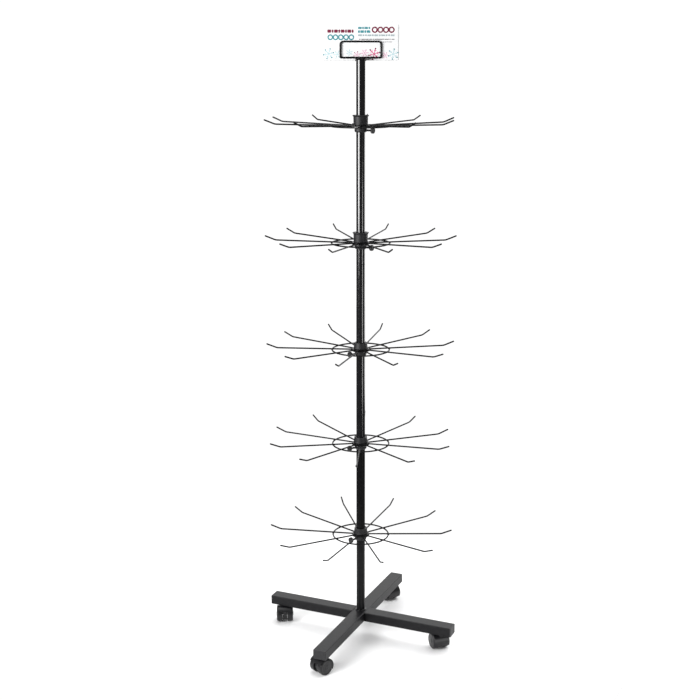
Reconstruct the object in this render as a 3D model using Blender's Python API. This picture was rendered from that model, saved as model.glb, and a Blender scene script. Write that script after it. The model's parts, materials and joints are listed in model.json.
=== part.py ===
"""Rotating display rack: a pole on a cross base with casters, five hook wheels and a sign.

Metres, +Z up. The origin is on the floor under the pole, with the four legs on X and Y.
"""

from math import cos, pi, radians, sin

import bmesh
import bpy
from mathutils import Matrix, Vector

GAP = 0.0003  # between pieces that touch
SMALL_SIDES = 10  # of bolts, pins and their holes

# Base
LEG_BOTTOM = 0.051
LEG_WIDTH = 0.040
LEG_HEIGHT = 0.028
LEG_WALL = 0.0015
LEG_CORNER = 0.0025
LEG_INNER_CORNER = 0.0008  # least corner radius inside the tube
LEG_REACH = 0.2947  # pole axis to the outside of an end cap
LEG_TOP = LEG_BOTTOM + LEG_HEIGHT
CAP_FLANGE = 0.003
CAP_DEPTH = 0.012
CAP_EDGE = 0.001  # chamfer of an end cap
BOLT_RADIUS = 0.004
BOLT_TOP = LEG_TOP + 0.026
BOLT_HEAD_RADIUS = 0.0073
BOLT_HEAD = 0.0053
WASHER_RADIUS = 0.0085
WASHER = 0.0016

# Pole
POLE_RADIUS = 0.0127
POLE_WALL = 0.0012
POLE_SIDES = 20
POLE_TOP = 1.7015
POLE_JOINTS = (0.612, 1.1375)  # heights where the tubes meet
NECK_RADIUS = POLE_RADIUS - POLE_WALL - GAP
NECK_LENGTH = 0.045
NECK_STEP = 0.006  # below the shoulder, where the bore starts to narrow
NECK_TAPER = 0.003
EDGE_CHAMFER = 0.0009
SOCKET_FLANGE_RADIUS = 0.0155
SOCKET_FLANGE = 0.003
SOCKET_LENGTH = 0.040
SOCKET_HOLE = 0.030
POLE_FOOT = LEG_TOP + SOCKET_FLANGE + 2 * GAP

# Tiers, from the top: wire height, turn of the first arm, direction of the thumb screw
TIERS = (
    (1.5239, radians(1.1), radians(-3)),
    (1.1987, radians(23.2), radians(-11)),
    (0.8897, radians(26.9), radians(-123)),
    (0.6068, radians(2.6), radians(-128)),
    (0.3231, radians(18.6), radians(-118)),
)
TALL_HUBS = 2  # how many of the top tiers have the taller hub with a lip
ARM_COUNT = 10
ARM_RADIUS = 0.0022
ARM_SIDES = 5
ARM_ELBOW = 0.240  # pole axis to the bend
ARM_TIP = 0.271
ARM_SLOPE = 0.032
TIP_LIFT = 0.0113  # how far the tip is bent up off the arm's line
RING_RADIUS = 0.0823
RING_STEPS = 30
RING_WELD = 0.0008  # how deep the ring sinks into the arms
HUB_DISC_RADIUS = 0.0246
HUB_DISC_HALF = 0.0023
BUSH_BORE = 0.0132
BUSH_RADIUS = 0.0170
BUSH_FLANGE_RADIUS = 0.0252
BUSH_FLANGE = 0.0022
CAP_BODY_RADIUS = 0.0205
CAP_LIP_RADIUS = 0.0232
CAP_LIP = 0.0022
CAP_LIP_SLOPE = 0.001
CAP_CROWN = 0.002  # thickness over the bush
TALL_CAP_TOP = 0.0295
LOW_CAP_TOP = 0.0200
LOW_CAP_TOP_RADIUS = 0.0184
HUB_SIDES = 16
COLLAR_BORE = 0.0133
COLLAR_RADIUS = 0.0172
COLLAR_FOOT_RADIUS = 0.0152
COLLAR_HEIGHT = 0.0122
COLLAR_TAPER = 0.0028
COLLAR_TOP = -HUB_DISC_HALF - 2 * GAP - BUSH_FLANGE
SCREW_RADIUS = 0.003
SCREW_START = 0.0130  # pole axis to the screw's tip
SCREW_DROP = 0.0006  # below the middle of the collar
SCREW_HEIGHT = COLLAR_TOP - COLLAR_HEIGHT / 2 - SCREW_DROP
KNOB_START = 0.0330
KNOB_END = 0.0415
KNOB_RADIUS = 0.0085
KNOB_FACE_RADIUS = 0.0065
KNOB_EDGE = 0.0015
KNOB_SIDES = 12

# Casters: leg direction, turn of the axle about the stem, side of the stem the wheels trail to
CASTERS = (
    ("right", 0.0, radians(44), -1),
    ("back", radians(90), radians(62), -1),
    ("left", radians(180), radians(27), 1),
    ("front", radians(-90), radians(-24), 1),
)
STEM_REACH = 0.258
WHEEL_RADIUS = 0.0235
WHEEL_SIDES = 20
WHEEL_INSIDE = 0.0075  # middle of the caster to the inner face of a wheel
WHEEL_OUTSIDE = 0.0262
WHEEL_BORE_END = 0.0222
TREAD_INNER_EDGE = 0.0015
TREAD_OUTER_EDGE = 0.0030
TREAD_OUTER_SLOPE = 0.0015
WHEEL_CROWN = 0.0010  # how far the hub stands out past the tread's edge
TRAIL = 0.014
AXLE_RADIUS = 0.003
AXLE_HALF = 0.0216
HOOD_GAP = 0.0009
HOOD_WALL = 0.0015
HOOD_HALF = 0.0240
HOOD_START = -28  # degrees round the axle
HOOD_END = 148
HOOD_STEPS = 12
WEB_HALF = 0.007
WEB_FOOT_RADIUS = 0.0185  # of the disc between the wheels
WEB_FOOT_START = 165
WEB_FOOT_END = 315
WEB_FOOT_STEPS = 10
BOSS_RADIUS = 0.0070
BOSS_FOOT = 0.030
STEM_PIN_RADIUS = 0.004
STEM_PIN_FOOT = 0.0345
STEM_SHANK_RADIUS = 0.005
STEM_SHANK_TOP = 0.068
STEM_FLANGE_RADIUS = 0.009
STEM_FLANGE = 0.0014
STEM_FLANGE_TOP = LEG_BOTTOM - GAP
HOOD_TOP = STEM_FLANGE_TOP - STEM_FLANGE - GAP

# Sign
SIGN_TURN = radians(23.3)
FRAME_WIRE = 0.0024
FRAME_WIDTH = 0.1116  # between the wires' middles
FRAME_FOOT = 1.7080
FRAME_HEIGHT = 0.0425
FRAME_CORNER = 0.007
FRAME_BACK = 0.0137  # pole axis to the frame's plane
PLUG_LENGTH = 0.030
PLUG_FLANGE_RADIUS = 0.0160
PLUG_FLANGE = 0.0045
PLUG_RIM = 0.0015
CARD_WIDTH = 0.210
CARD_FOOT = 1.7000
CARD_HEIGHT = 0.1045
CARD_FRONT = FRAME_BACK + FRAME_WIRE + 2 * GAP
CARD_THICKNESS = 0.0012
CLIP_HALF = 0.015
CLIP_WALL = 0.0015
CLIP_TOP = 1.740
CLIP_SINK = 0.0005  # how deep the clip starts in the plug


def clear_scene():
    for item in list(bpy.data.objects):
        bpy.data.objects.remove(item, do_unlink=True)


def material(name, colour, roughness, metallic):
    made = bpy.data.materials.new(name)
    made.use_nodes = True
    shader = made.node_tree.nodes["Principled BSDF"]
    shader.inputs["Base Color"].default_value = (*colour, 1.0)
    shader.inputs["Roughness"].default_value = roughness
    shader.inputs["Metallic"].default_value = metallic
    made.diffuse_color = (*colour, 1.0)
    return made


def empty(name, location=(0, 0, 0), turn=0.0, parent=None):
    made = bpy.data.objects.new(name, None)
    made.location = location
    made.rotation_euler = (0, 0, turn)
    made.parent = parent
    bpy.context.collection.objects.link(made)
    return made


def place(name, mesh, finish, location=(0, 0, 0), turn=0.0, parent=None):
    made = bpy.data.objects.new(name, mesh)
    made.location = location
    made.rotation_euler = (0, 0, turn)
    made.parent = parent
    if not mesh.materials:
        mesh.materials.append(finish)
    bpy.context.collection.objects.link(made)
    return made


def finished(bm, name="piece"):
    """A mesh from bm with its faces pointing out and its round faces shaded smooth."""
    bmesh.ops.recalc_face_normals(bm, faces=bm.faces)
    mesh = bpy.data.meshes.new(name)
    bm.to_mesh(mesh)
    bm.free()
    mesh.shade_smooth()
    mesh.set_sharp_from_angle(angle=radians(35))
    return mesh


def band(bm, first, second):
    """Faces between two loops; a loop of one vertex is the point of a fan."""
    count = max(len(first), len(second))
    for i in range(count):
        corners = [first[i % len(first)], first[(i + 1) % len(first)]]
        corners += [second[(i + 1) % len(second)], second[i % len(second)]]
        bm.faces.new(list(dict.fromkeys(corners)))


def loft(loops, closed=False):
    """A solid through loops of points; open ends are capped unless they are single points."""
    bm = bmesh.new()
    rings = [[bm.verts.new(point) for point in loop] for loop in loops]
    for first, second in zip(rings, rings[1:]):
        band(bm, first, second)
    if closed:
        band(bm, rings[-1], rings[0])
        return bm
    for end in (rings[0], rings[-1]):
        if len(end) > 2:
            bm.faces.new(end)
    return bm


def circle(radius, height, sides, shift=0.0):
    if radius == 0:
        return [(0, 0, height)]
    angles = [2 * pi * (i + shift) / sides for i in range(sides)]
    return [(radius * cos(a), radius * sin(a), height) for a in angles]


def turned(outline, sides, closed=False, shift=0.0):
    """A solid turned about Z from (radius, height) points."""
    return loft([circle(r, z, sides, shift) for r, z in outline], closed)


def to_x(bm):
    """Lays a solid that was made along Z down along X."""
    bmesh.ops.rotate(bm, matrix=Matrix.Rotation(pi / 2, 3, "Y"), verts=bm.verts)
    return bm


def to_y(bm):
    """Lays a solid that was made along Z down along Y."""
    bmesh.ops.rotate(bm, matrix=Matrix.Rotation(-pi / 2, 3, "X"), verts=bm.verts)
    return bm


def moved(bm, *offset):
    bmesh.ops.translate(bm, vec=Vector(offset), verts=bm.verts)
    return bm


def box(low, high):
    corners = ((0, 0), (1, 0), (1, 1), (0, 1))
    ends = (low, high)
    return loft([[(ends[i][0], ends[j][1], end[2]) for i, j in corners] for end in ends])


def wire(points, radius, sides, closed=False):
    """A round wire along a path, mitred at its bends."""
    path = [Vector(p) for p in points]
    count = len(path)
    steps = [(path[(i + 1) % count] - path[i]).normalized() for i in range(count)]
    before = steps[-1] if closed else steps[0]
    side = before.orthogonal().normalized()
    loops = []
    for i, point in enumerate(path):
        after = steps[i] if closed or i < count - 1 else before
        mitre = (before + after).normalized()
        side = (side - before * side.dot(before)).normalized()
        up = before.cross(side)
        loop = []
        for k in range(sides):
            angle = 2 * pi * (k + 0.5) / sides
            offset = radius * (cos(angle) * side + sin(angle) * up)
            offset -= before * (offset.dot(mitre) / before.dot(mitre))
            loop.append(point + offset)
        loops.append(loop)
        before = after
    return loft(loops, closed)


def combined(base, others, operation):
    """The mesh of base with each of the others joined to it or cut from it."""
    first = place("base_solid", finished(base), None)
    tools = [place("tool_solid", finished(other), None) for other in others]
    for tool in tools:
        step = first.modifiers.new("step", "BOOLEAN")
        step.object = tool
        step.operation = operation
        step.solver = "EXACT"
    graph = bpy.context.evaluated_depsgraph_get()
    mesh = bpy.data.meshes.new_from_object(first.evaluated_get(graph))
    for item in (first, *tools):
        bpy.data.objects.remove(item, do_unlink=True)
    bm = bmesh.new()
    bm.from_mesh(mesh)
    bpy.data.meshes.remove(mesh)
    bmesh.ops.remove_doubles(bm, verts=bm.verts, dist=1e-6)
    return bm


# The base


def rounded_rectangle(width, height, corner, x, middle):
    """Twelve points round a rectangle in the plane at x, with chamfered round corners."""
    points = []
    for quarter in range(4):
        sign_y = 1 if quarter in (0, 3) else -1
        sign_z = 1 if quarter in (0, 1) else -1
        centre_y = sign_y * (width / 2 - corner)
        centre_z = sign_z * (height / 2 - corner)
        for step in range(3):
            angle = pi / 2 * quarter + pi / 4 * step
            points.append((x, centre_y + corner * cos(angle), middle + centre_z + corner * sin(angle)))
    return points


def leg_section(inset, x):
    corner = max(LEG_CORNER - inset, LEG_INNER_CORNER)
    middle = LEG_BOTTOM + LEG_HEIGHT / 2
    return rounded_rectangle(LEG_WIDTH - 2 * inset, LEG_HEIGHT - 2 * inset, corner, x, middle)


def leg_tube(notch_at_top):
    """A square-cut tube with half its height notched out where the other leg crosses it."""
    end = LEG_REACH - CAP_FLANGE - GAP
    sections = [leg_section(0, -end), leg_section(0, end)]
    sections += [leg_section(LEG_WALL, end), leg_section(LEG_WALL, -end)]
    tube = loft(sections, closed=True)
    middle = LEG_BOTTOM + LEG_HEIGHT / 2
    half = LEG_WIDTH / 2 + GAP
    clear = LEG_WIDTH
    if notch_at_top:
        notch = box((-half, -clear, middle - GAP), (half, clear, LEG_TOP + clear))
    else:
        notch = box((-half, -clear, LEG_BOTTOM - clear), (half, clear, middle + GAP))
    cutters = [notch, turned([(BOLT_RADIUS + GAP, 0), (BOLT_RADIUS + GAP, LEG_TOP + clear)], SMALL_SIDES)]
    for side in (-1, 1):
        hole_radius = STEM_SHANK_RADIUS + GAP
        stem_hole = turned([(hole_radius, 0), (hole_radius, LEG_BOTTOM + LEG_HEIGHT / 2)], SMALL_SIDES)
        cutters.append(moved(stem_hole, side * STEM_REACH, 0, 0))
    return combined(tube, cutters, "DIFFERENCE")


def end_cap():
    """A plug with a flange that covers the end of a leg at +X."""
    inset = LEG_WALL + GAP
    flange = LEG_REACH - CAP_FLANGE
    return loft(
        [
            leg_section(inset + CAP_EDGE, flange - CAP_DEPTH),
            leg_section(inset, flange - CAP_DEPTH + CAP_EDGE),
            leg_section(inset, flange),
            leg_section(0, flange),
            leg_section(0, LEG_REACH - CAP_EDGE),
            leg_section(CAP_EDGE, LEG_REACH),
        ]
    )


def pole_socket():
    """The flanged stub in the pole's foot, with a blind hole for the bolt."""
    foot = LEG_TOP + GAP
    hole = BOLT_RADIUS + GAP
    top = foot + SOCKET_FLANGE + SOCKET_LENGTH
    outline = [
        (0, foot + SOCKET_HOLE),
        (hole, foot + SOCKET_HOLE),
        (hole, foot),
        (SOCKET_FLANGE_RADIUS, foot),
        (SOCKET_FLANGE_RADIUS, foot + SOCKET_FLANGE),
        (NECK_RADIUS, foot + SOCKET_FLANGE),
        (NECK_RADIUS, top),
        (0, top),
    ]
    return turned(outline, POLE_SIDES)


def base_washer():
    top = LEG_BOTTOM - GAP
    inner = BOLT_RADIUS + GAP
    corners = [(inner, top), (WASHER_RADIUS, top), (WASHER_RADIUS, top - WASHER), (inner, top - WASHER)]
    return turned(corners, HUB_SIDES, closed=True)


def base_bolt():
    head_top = LEG_BOTTOM - 2 * GAP - WASHER
    shaft = turned([(BOLT_RADIUS, head_top - BOLT_HEAD / 2), (BOLT_RADIUS, BOLT_TOP)], SMALL_SIDES)
    head = turned([(BOLT_HEAD_RADIUS, head_top - BOLT_HEAD), (BOLT_HEAD_RADIUS, head_top)], 6)
    return combined(head, [shaft], "UNION")


def make_base(black_steel, black_plastic, zinc):
    for name, turn, notch_at_top in (("leg_left_right", 0, True), ("leg_front_back", pi / 2, False)):
        place(name, finished(leg_tube(notch_at_top)), black_steel, turn=turn)
    cap = finished(end_cap())
    for name, turn, _, _ in CASTERS:
        place(f"end_cap_{name}", cap, black_plastic, turn=turn)
    place("pole_socket", finished(pole_socket()), black_steel)
    place("base_washer", finished(base_washer()), zinc)
    place("base_bolt", finished(base_bolt()), zinc)


# The pole


def pole_tube(foot, top, has_neck):
    """An open tube from foot to top; its neck, if any, stands up inside the next tube."""
    inside = POLE_RADIUS - POLE_WALL
    soft = POLE_RADIUS - EDGE_CHAMFER
    outline = [(inside, foot), (soft, foot), (POLE_RADIUS, foot + EDGE_CHAMFER)]
    outline += [(POLE_RADIUS, top - EDGE_CHAMFER), (soft, top)]
    if has_neck:
        bore = NECK_RADIUS - POLE_WALL
        neck_top = top + NECK_LENGTH
        outline += [(NECK_RADIUS, top), (NECK_RADIUS, neck_top), (bore, neck_top)]
        outline += [(bore, top - NECK_STEP), (inside, top - NECK_STEP - NECK_TAPER)]
    else:
        outline += [(inside, top)]
    return turned(outline, POLE_SIDES, closed=True)


def make_pole(black_steel):
    low, high = POLE_JOINTS
    place("pole_lower_tube", finished(pole_tube(POLE_FOOT, low - GAP, True)), black_steel)
    place("pole_middle_tube", finished(pole_tube(low, high - GAP, True)), black_steel)
    place("pole_upper_tube", finished(pole_tube(high, POLE_TOP, False)), black_steel)


# The tiers. Each is made with the wires' height at zero.


def hook_wheel():
    """Ten hook arms on a hub disc, stiffened by a ring welded under them."""
    disc_corners = [
        (BUSH_RADIUS + GAP, -HUB_DISC_HALF),
        (HUB_DISC_RADIUS, -HUB_DISC_HALF),
        (HUB_DISC_RADIUS, HUB_DISC_HALF),
        (BUSH_RADIUS + GAP, HUB_DISC_HALF),
    ]
    disc = turned(disc_corners, HUB_SIDES, closed=True)
    start = (HUB_DISC_RADIUS + BUSH_RADIUS) / 2
    path = [
        (start, 0, 0),
        (ARM_ELBOW, 0, ARM_SLOPE * ARM_ELBOW),
        (ARM_TIP, 0, ARM_SLOPE * ARM_TIP + TIP_LIFT),
    ]
    pieces = []
    for i in range(ARM_COUNT):
        arm = wire(path, ARM_RADIUS, ARM_SIDES)
        turn = Matrix.Rotation(2 * pi * i / ARM_COUNT, 3, "Z")
        bmesh.ops.rotate(arm, matrix=turn, verts=arm.verts)
        pieces.append(arm)
    ring_height = ARM_SLOPE * RING_RADIUS - 2 * ARM_RADIUS + RING_WELD
    ring = wire(circle(RING_RADIUS, ring_height, RING_STEPS, 0.5), ARM_RADIUS, ARM_SIDES, closed=True)
    return combined(disc, [*pieces, ring], "UNION")


def hub_bush(cap_top):
    flange_top = -HUB_DISC_HALF - GAP
    flange_foot = flange_top - BUSH_FLANGE
    top = cap_top - CAP_CROWN - GAP
    outline = [
        (BUSH_BORE, flange_foot),
        (BUSH_FLANGE_RADIUS, flange_foot),
        (BUSH_FLANGE_RADIUS, flange_top),
        (BUSH_RADIUS, flange_top),
        (BUSH_RADIUS, top),
        (BUSH_BORE, top),
    ]
    return turned(outline, HUB_SIDES, closed=True)


def tall_cap_side():
    """The outer side of a cap with a lip round its top."""
    lip_foot = TALL_CAP_TOP - CAP_LIP
    return [
        (CAP_BODY_RADIUS, lip_foot - CAP_LIP_SLOPE),
        (CAP_LIP_RADIUS, lip_foot),
        (CAP_LIP_RADIUS, TALL_CAP_TOP),
    ]


def low_cap_side():
    """The outer side of a cap that narrows to its top."""
    return [(LOW_CAP_TOP_RADIUS, LOW_CAP_TOP)]


def hub_cap(side, cap_top):
    """A ring pushed on the bush, with a hole for the pole."""
    foot = HUB_DISC_HALF + GAP
    inside = BUSH_RADIUS + GAP
    crown_foot = cap_top - CAP_CROWN
    outline = [(inside, foot), (CAP_BODY_RADIUS, foot), *side]
    outline += [(BUSH_BORE, cap_top), (BUSH_BORE, crown_foot), (inside, crown_foot)]
    return turned(outline, HUB_SIDES, closed=True)


def clamp_collar():
    """A collar with a side hole along +X for its thumb screw."""
    foot = COLLAR_TOP - COLLAR_HEIGHT
    outline = [
        (COLLAR_BORE, foot),
        (COLLAR_FOOT_RADIUS, foot),
        (COLLAR_RADIUS, foot + COLLAR_TAPER),
        (COLLAR_RADIUS, COLLAR_TOP),
        (COLLAR_BORE, COLLAR_TOP),
    ]
    collar = turned(outline, HUB_SIDES, closed=True)
    hole = to_x(turned([(SCREW_RADIUS + GAP, 0), (SCREW_RADIUS + GAP, 2 * COLLAR_RADIUS)], SMALL_SIDES))
    return combined(collar, [moved(hole, 0, 0, SCREW_HEIGHT)], "DIFFERENCE")


def thumb_screw():
    """A screw along +X with a round knob, its own axis at zero height."""
    outline = [
        (0, SCREW_START),
        (SCREW_RADIUS, SCREW_START),
        (SCREW_RADIUS, KNOB_START),
        (KNOB_RADIUS, KNOB_START),
        (KNOB_RADIUS, KNOB_END - KNOB_EDGE),
        (KNOB_FACE_RADIUS, KNOB_END),
        (0, KNOB_END),
    ]
    return to_x(turned(outline, KNOB_SIDES))


def make_tiers(black_steel, black_plastic, zinc):
    wheel = finished(hook_wheel())
    tall_hub = (finished(hub_bush(TALL_CAP_TOP)), finished(hub_cap(tall_cap_side(), TALL_CAP_TOP)))
    low_hub = (finished(hub_bush(LOW_CAP_TOP)), finished(hub_cap(low_cap_side(), LOW_CAP_TOP)))
    collar = finished(clamp_collar())
    screw = finished(thumb_screw())
    for number, (height, arm_turn, screw_turn) in enumerate(TIERS, 1):
        axis = empty(f"tier{number}_axis", (0, 0, height))
        bush, cap = tall_hub if number <= TALL_HUBS else low_hub
        place(f"tier{number}_hook_wheel", wheel, black_steel, turn=arm_turn, parent=axis)
        place(f"tier{number}_hub_bush", bush, black_plastic, turn=arm_turn, parent=axis)
        place(f"tier{number}_hub_cap", cap, black_plastic, turn=arm_turn, parent=axis)
        place(f"tier{number}_clamp_collar", collar, black_plastic, turn=screw_turn, parent=axis)
        place(f"tier{number}_thumb_screw", screw, black_plastic, (0, 0, SCREW_HEIGHT), screw_turn, axis)


# The casters. Each is made with its stem's axis on Z, its axle along Y and its wheels trailing to -X.


def arc(radius, first, last, steps):
    """Points (x, z) on an arc about the axle, at angles in degrees."""
    angles = [radians(first + (last - first) * i / steps) for i in range(steps + 1)]
    return [(-TRAIL + radius * cos(a), WHEEL_RADIUS + radius * sin(a)) for a in angles]


def plate(outline, half):
    """A side outline of (x, z) points made into a plate along Y."""
    return loft([[(x, y, z) for x, z in outline] for y in (-half, half)])


def caster_hood():
    inner = WHEEL_RADIUS + HOOD_GAP
    outer = inner + HOOD_WALL
    fender_outline = arc(outer, HOOD_START, HOOD_END, HOOD_STEPS)
    fender_outline += arc(inner, HOOD_END, HOOD_START, HOOD_STEPS)
    web_outline = arc(inner + HOOD_WALL / 2, HOOD_START, HOOD_END, HOOD_STEPS)
    web_outline += arc(WEB_FOOT_RADIUS, WEB_FOOT_START, WEB_FOOT_END, WEB_FOOT_STEPS)
    fender = plate(fender_outline, HOOD_HALF)
    web = plate(web_outline, WEB_HALF)
    boss = turned([(BOSS_RADIUS, BOSS_FOOT), (BOSS_RADIUS, HOOD_TOP)], KNOB_SIDES)
    solid = combined(fender, [web, boss], "UNION")
    socket_radius = STEM_PIN_RADIUS + GAP
    socket = turned([(socket_radius, STEM_PIN_FOOT - GAP), (socket_radius, LEG_TOP)], SMALL_SIDES)
    bore_radius = AXLE_RADIUS + GAP
    bore = to_y(turned([(bore_radius, -AXLE_HALF), (bore_radius, AXLE_HALF)], SMALL_SIDES))
    return combined(solid, [socket, moved(bore, -TRAIL, 0, WHEEL_RADIUS)], "DIFFERENCE")


def caster_stem():
    outline = [
        (0, STEM_PIN_FOOT),
        (STEM_PIN_RADIUS, STEM_PIN_FOOT),
        (STEM_PIN_RADIUS, HOOD_TOP + GAP),
        (STEM_FLANGE_RADIUS, HOOD_TOP + GAP),
        (STEM_FLANGE_RADIUS, STEM_FLANGE_TOP),
        (STEM_SHANK_RADIUS, STEM_FLANGE_TOP),
        (STEM_SHANK_RADIUS, STEM_SHANK_TOP),
        (0, STEM_SHANK_TOP),
    ]
    return turned(outline, SMALL_SIDES)


def caster_axle():
    return to_y(turned([(AXLE_RADIUS, -AXLE_HALF), (AXLE_RADIUS, AXLE_HALF)], SMALL_SIDES))


def caster_wheel():
    """The wheel at +Y, its own axis at zero height, with a flat of its rim at the bottom."""
    rim = WHEEL_RADIUS / cos(pi / WHEEL_SIDES)
    bore = AXLE_RADIUS + GAP
    outline = [
        (0, WHEEL_BORE_END),
        (bore, WHEEL_BORE_END),
        (bore, WHEEL_INSIDE),
        (rim - TREAD_INNER_EDGE, WHEEL_INSIDE),
        (rim, WHEEL_INSIDE + TREAD_INNER_EDGE),
        (rim, WHEEL_OUTSIDE - WHEEL_CROWN - TREAD_OUTER_SLOPE),
        (rim - TREAD_OUTER_EDGE, WHEEL_OUTSIDE - WHEEL_CROWN),
        (0, WHEEL_OUTSIDE),
    ]
    return to_y(turned(outline, WHEEL_SIDES, shift=0.5))


def make_casters(black_plastic, zinc):
    hood = finished(caster_hood())
    stem = finished(caster_stem())
    axle = finished(caster_axle())
    wheel = finished(caster_wheel())
    for name, leg, axle_turn, trail_side in CASTERS:
        turn = axle_turn - pi / 2 + (pi if trail_side > 0 else 0)
        axis = empty(f"caster_{name}_axis", (STEM_REACH * cos(leg), STEM_REACH * sin(leg), 0), turn)
        centre = (-TRAIL, 0, WHEEL_RADIUS)
        place(f"caster_{name}_stem", stem, zinc, parent=axis)
        place(f"caster_{name}_hood", hood, black_plastic, parent=axis)
        place(f"caster_{name}_axle", axle, zinc, centre, parent=axis)
        place(f"caster_{name}_wheel_a", wheel, black_plastic, centre, parent=axis)
        place(f"caster_{name}_wheel_b", wheel, black_plastic, centre, pi, axis)


# The sign. It is made facing -Y and turned as a whole.


def frame_path():
    """The wire's rectangle, with round top corners and square bottom corners."""
    half = FRAME_WIDTH / 2
    top = FRAME_FOOT + FRAME_HEIGHT
    path = [(half, FRAME_FOOT)]
    for side, first in ((1, 0), (-1, pi / 2)):
        for step in range(4):
            angle = first + pi / 6 * step
            x = side * (half - FRAME_CORNER) + FRAME_CORNER * cos(angle)
            path.append((x, top - FRAME_CORNER + FRAME_CORNER * sin(angle)))
    path.append((-half, FRAME_FOOT))
    return [(x, FRAME_BACK, z) for x, z in path]


def sign_holder():
    """Plug, wire frame and the clip that the card stands in, all one weldment."""
    flange_foot = POLE_TOP + GAP
    flange_top = flange_foot + PLUG_FLANGE
    outline = [
        (0, POLE_TOP - PLUG_LENGTH),
        (NECK_RADIUS, POLE_TOP - PLUG_LENGTH),
        (NECK_RADIUS, flange_foot),
        (POLE_RADIUS, flange_foot),
        (PLUG_FLANGE_RADIUS, flange_top - PLUG_RIM),
        (PLUG_FLANGE_RADIUS, flange_top),
        (0, flange_top),
    ]
    plug = turned(outline, POLE_SIDES)
    frame = wire(frame_path(), FRAME_WIRE, 8, closed=True)
    front = CARD_FRONT - GAP - CLIP_WALL
    back = CARD_FRONT + CARD_THICKNESS + GAP
    foot = CARD_FOOT - GAP - CLIP_WALL
    strips = [
        box((-CLIP_HALF, front, foot), (CLIP_HALF, CARD_FRONT - GAP, flange_top - CLIP_SINK)),
        box((-CLIP_HALF, front, foot), (CLIP_HALF, back + CLIP_WALL, foot + CLIP_WALL)),
        box((-CLIP_HALF, back, foot), (CLIP_HALF, back + CLIP_WALL, CLIP_TOP)),
    ]
    return combined(plug, [frame, *strips], "UNION")


def make_sign(black_steel, card_stock):
    axis = empty("sign_axis", turn=SIGN_TURN)
    place("sign_holder", finished(sign_holder()), black_steel, parent=axis)
    low = (-CARD_WIDTH / 2, CARD_FRONT, CARD_FOOT)
    high = (CARD_WIDTH / 2, CARD_FRONT + CARD_THICKNESS, CARD_FOOT + CARD_HEIGHT)
    place("sign_card", finished(box(low, high)), card_stock, parent=axis)


def main():
    clear_scene()
    black_steel = material("black_powder_coat", (0.012, 0.012, 0.014), 0.22, 0.0)
    black_plastic = material("black_plastic", (0.020, 0.020, 0.022), 0.5, 0.0)
    zinc = material("zinc", (0.60, 0.61, 0.63), 0.35, 1.0)
    card_stock = material("card_stock", (0.92, 0.93, 0.94), 0.6, 0.0)
    make_base(black_steel, black_plastic, zinc)
    make_pole(black_steel)
    make_tiers(black_steel, black_plastic, zinc)
    make_casters(black_plastic, zinc)
    make_sign(black_steel, card_stock)


main()
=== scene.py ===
import json
from math import atan2, cos, hypot, pi, radians, sin

import bmesh
import bpy
from mathutils import Matrix, Vector


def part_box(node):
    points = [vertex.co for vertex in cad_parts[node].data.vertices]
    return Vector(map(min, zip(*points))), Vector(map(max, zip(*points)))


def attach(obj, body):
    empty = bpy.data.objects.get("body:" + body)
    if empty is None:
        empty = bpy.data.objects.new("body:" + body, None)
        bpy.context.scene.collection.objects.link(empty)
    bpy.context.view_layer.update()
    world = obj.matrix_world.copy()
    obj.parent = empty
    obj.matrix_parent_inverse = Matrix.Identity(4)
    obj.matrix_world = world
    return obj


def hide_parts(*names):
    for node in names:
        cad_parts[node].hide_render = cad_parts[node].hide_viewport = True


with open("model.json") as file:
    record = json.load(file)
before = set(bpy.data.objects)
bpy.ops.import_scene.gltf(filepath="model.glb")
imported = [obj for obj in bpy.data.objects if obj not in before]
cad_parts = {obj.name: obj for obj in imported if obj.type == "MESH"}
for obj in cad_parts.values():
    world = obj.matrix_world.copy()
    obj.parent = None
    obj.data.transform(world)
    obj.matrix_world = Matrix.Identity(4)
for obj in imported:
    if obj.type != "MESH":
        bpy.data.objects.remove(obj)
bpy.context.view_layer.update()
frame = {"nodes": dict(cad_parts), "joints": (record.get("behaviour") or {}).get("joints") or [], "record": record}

JOINTS = {joint["name"]: joint for joint in frame["joints"]}
BODIES = frame["record"]["behaviour"]["bodies"]
BODY_OF = {node: body for body, nodes in BODIES.items() for node in nodes}

GAP = 0.0003  # between pieces that touch
ROUND_SIDES = 64
WIRE_SIDES = 14
BORE_SIDES = 24
LEAST_CORNER = 0.0008  # of a rounded rectangle's inner loops
SMALL_EDGE = 0.0008  # rounding of most edges
FINE_EDGE = 0.0004  # rounding of pins, screws and stems

# Base
LEG_WALL = 0.0015
LEG_CORNER = 0.0025
CAP_FLANGE = 0.003
CAP_DEPTH = 0.012
CAP_EDGE = 0.0012
BOLT_RADIUS = 0.004
STEM_SHANK_RADIUS = 0.005
SOCKET_HOLE = 0.030  # foot of the socket to the end of the bolt's hole
WASHER_EDGE = 0.0003
BOLT_ROOT = 0.002  # underside of the head to the shaft's end inside it

# Pole
POLE_RADIUS = 0.0127
POLE_WALL = 0.0012
NECK_RADIUS = 0.0112
NECK_LENGTH = 0.045
POLE_EDGE = 0.0009
NECK_STEP = 0.006  # below the shoulder, where the bore starts to narrow
NECK_TAPER = 0.003

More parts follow.
